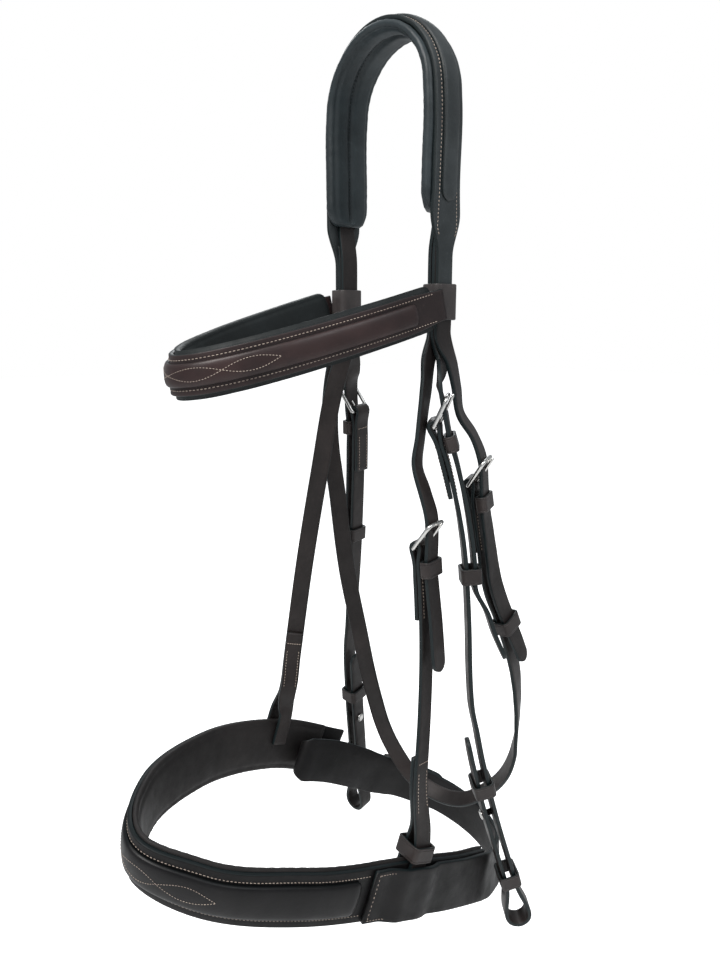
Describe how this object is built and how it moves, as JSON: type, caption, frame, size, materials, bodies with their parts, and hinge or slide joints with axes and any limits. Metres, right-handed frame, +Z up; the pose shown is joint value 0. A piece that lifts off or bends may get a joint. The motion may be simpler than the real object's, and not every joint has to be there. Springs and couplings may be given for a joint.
{
  "type": "riding bridle",
  "caption": "Leather riding bridle without reins: padded headpiece, browband, buckled cheekpieces with bit loops, throatlash and a wide padded noseband with a chin strap.",
  "frame": {"origin": "middle of the headpiece's underside, where it lies on the horse's poll", "axes": "+Z up; -Y the way the horse faces; +X the horse's near (left) side"},
  "size_m": [0.1933, 0.2916, 0.6001],
  "materials": {
    "brown_leather": "dark brown bridle leather, waxed, with dark painted edges",
    "red_brown_leather": "reddish brown glazed leather, raised over a filler",
    "black_lining": "soft blue-black lining leather over foam",
    "steel": "polished stainless steel"
  },
  "bodies": {
    "straps": {"chin_buckle_chape": "brown_leather", "chin_keeper": "brown_leather", "chin_strap": "brown_leather", "crown_leather": "brown_leather", "crown_padding": "black_lining", "crown_raised_top": "brown_leather", "dee_tab": "brown_leather", "far_bit_keeper": "brown_leather", "far_cheek_billet": "brown_leather", "far_cheek_keeper": "brown_leather", "far_cheekpiece": "brown_leather", "far_hook_stud": "steel", "near_bit_keeper": "brown_leather", "near_cheek_billet": "brown_leather", "near_cheek_keeper": "brown_leather", "near_cheekpiece": "brown_leather", "near_hanger_keeper": "brown_leather", "near_hook_stud": "steel", "near_noseband_cheek": "brown_leather", "near_throat_billet": "brown_leather", "nose_leather": "brown_leather", "nose_padding": "black_lining", "nose_raised_front": "brown_leather", "noseband_headstrap": "brown_leather", "noseband_keeper": "brown_leather", "throat_keeper": "brown_leather", "throatlash": "brown_leather"},
    "browband": {"browband_leather": "brown_leather", "browband_padding": "black_lining", "browband_raised_front": "red_brown_leather", "far_browband_loop": "brown_leather", "near_browband_loop": "brown_leather"},
    "chin_buckle_frame": {"chin_buckle_frame": "steel"},
    "chin_buckle_tongue": {"chin_buckle_tongue": "steel"},
    "chin_dee": {"chin_dee": "steel"},
    "far_bit_runner": {"far_bit_runner": "brown_leather"},
    "far_cheek_buckle_frame": {"far_cheek_buckle_frame": "steel"},
    "far_cheek_buckle_tongue": {"far_cheek_buckle_tongue": "steel"},
    "far_cheek_runner": {"far_cheek_runner": "brown_leather"},
    "near_bit_runner": {"near_bit_runner": "brown_leather"},
    "near_cheek_buckle_frame": {"near_cheek_buckle_frame": "steel"},
    "near_cheek_buckle_tongue": {"near_cheek_buckle_tongue": "steel"},
    "near_cheek_runner": {"near_cheek_runner": "brown_leather"},
    "noseband_buckle_frame": {"noseband_buckle_frame": "steel"},
    "noseband_buckle_tongue": {"noseband_buckle_tongue": "steel"},
    "throat_buckle_frame": {"throat_buckle_frame": "steel"},
    "throat_buckle_tongue": {"throat_buckle_tongue": "steel"},
    "throat_runner": {"throat_runner": "brown_leather"}
  },
  "joints": [
    {"name": "browband_slide", "type": "slide", "parent": "straps", "child": "browband", "axis": [0, 0, 1], "range_m": [-0.003, 0.005]},
    {"name": "near_cheek_buckle_turn", "type": "hinge", "parent": "straps", "child": "near_cheek_buckle_frame", "pos_m": [0.05198, -0.01009, -0.22697], "axis": [0.6402, -0.763, -0.0894], "range_deg": [-1, 1]},
    {"name": "near_cheek_buckle_tongue_lift", "type": "hinge", "parent": "near_cheek_buckle_frame", "child": "near_cheek_buckle_tongue", "pos_m": [0.05198, -0.01009, -0.22697], "axis": [0.6402, -0.763, -0.0894], "range_deg": [-2, 0]},
    {"name": "far_cheek_buckle_turn", "type": "hinge", "parent": "straps", "child": "far_cheek_buckle_frame", "pos_m": [-0.05308, 0.0194, -0.22873], "axis": [-0.1386, 0.9864, 0.0884], "range_deg": [-1, 1]},
    {"name": "far_cheek_buckle_tongue_lift", "type": "hinge", "parent": "far_cheek_buckle_frame", "child": "far_cheek_buckle_tongue", "pos_m": [-0.05308, 0.0194, -0.22873], "axis": [-0.1386, 0.9864, 0.0884], "range_deg": [-2, 0]},
    {"name": "throat_buckle_turn", "type": "hinge", "parent": "straps", "child": "throat_buckle_frame", "pos_m": [0.05612, 0.02056, -0.26578], "axis": [0.4042, -0.908, -0.1105], "range_deg": [-1, 1]},
    {"name": "throat_buckle_tongue_lift", "type": "hinge", "parent": "throat_buckle_frame", "child": "throat_buckle_tongue", "pos_m": [0.05612, 0.02056, -0.26578], "axis": [0.4042, -0.908, -0.1105], "range_deg": [-2, 0]},
    {"name": "noseband_buckle_turn", "type": "hinge", "parent": "straps", "child": "noseband_buckle_frame", "pos_m": [0.05428, -0.0227, -0.29988], "axis": [0.2419, -0.9703, -0.0046], "range_deg": [-1, 1]},
    {"name": "noseband_buckle_tongue_lift", "type": "hinge", "parent": "noseband_buckle_frame", "child": "noseband_buckle_tongue", "pos_m": [0.05428, -0.0227, -0.29988], "axis": [0.2419, -0.9703, -0.0046], "range_deg": [-2, 0]},
    {"name": "chin_buckle_turn", "type": "hinge", "parent": "straps", "child": "chin_buckle_frame", "pos_m": [-0.05835, 0.04225, -0.53731], "axis": [0.2256, 0.4388, 0.8698], "range_deg": [-1, 1]},
    {"name": "chin_buckle_tongue_lift", "type": "hinge", "parent": "chin_buckle_frame", "child": "chin_buckle_tongue", "pos_m": [-0.05835, 0.04225, -0.53731], "axis": [0.2256, 0.4388, 0.8698], "range_deg": [-2, 0]},
    {"name": "chin_dee_turn", "type": "hinge", "parent": "straps", "child": "chin_dee", "pos_m": [-0.07252, 0.01676, -0.5226], "axis": [-0.017, -0.4909, -0.8711], "range_deg": [-2, 2]},
    {"name": "near_cheek_runner_slide", "type": "slide", "parent": "straps", "child": "near_cheek_runner", "axis": [0.0928, 0.0242, -0.9954], "range_m": [-0.002, 0.002]},
    {"name": "near_bit_runner_slide", "type": "slide", "parent": "straps", "child": "near_bit_runner", "axis": [0.0547, 0.2668, -0.9622], "range_m": [-0.002, 0.002]},
    {"name": "far_cheek_runner_slide", "type": "slide", "parent": "straps", "child": "far_cheek_runner", "axis": [-0.0892, 0.0258, -0.9957], "range_m": [-0.002, 0.002]},
    {"name": "far_bit_runner_slide", "type": "slide", "parent": "straps", "child": "far_bit_runner", "axis": [-0.097, 0.1283, -0.987], "range_m": [-0.002, 0.002]},
    {"name": "throat_runner_slide", "type": "slide", "parent": "straps", "child": "throat_runner", "axis": [0.0891, 0.3759, -0.9224], "range_m": [-0.002, 0.002]}
  ]
}
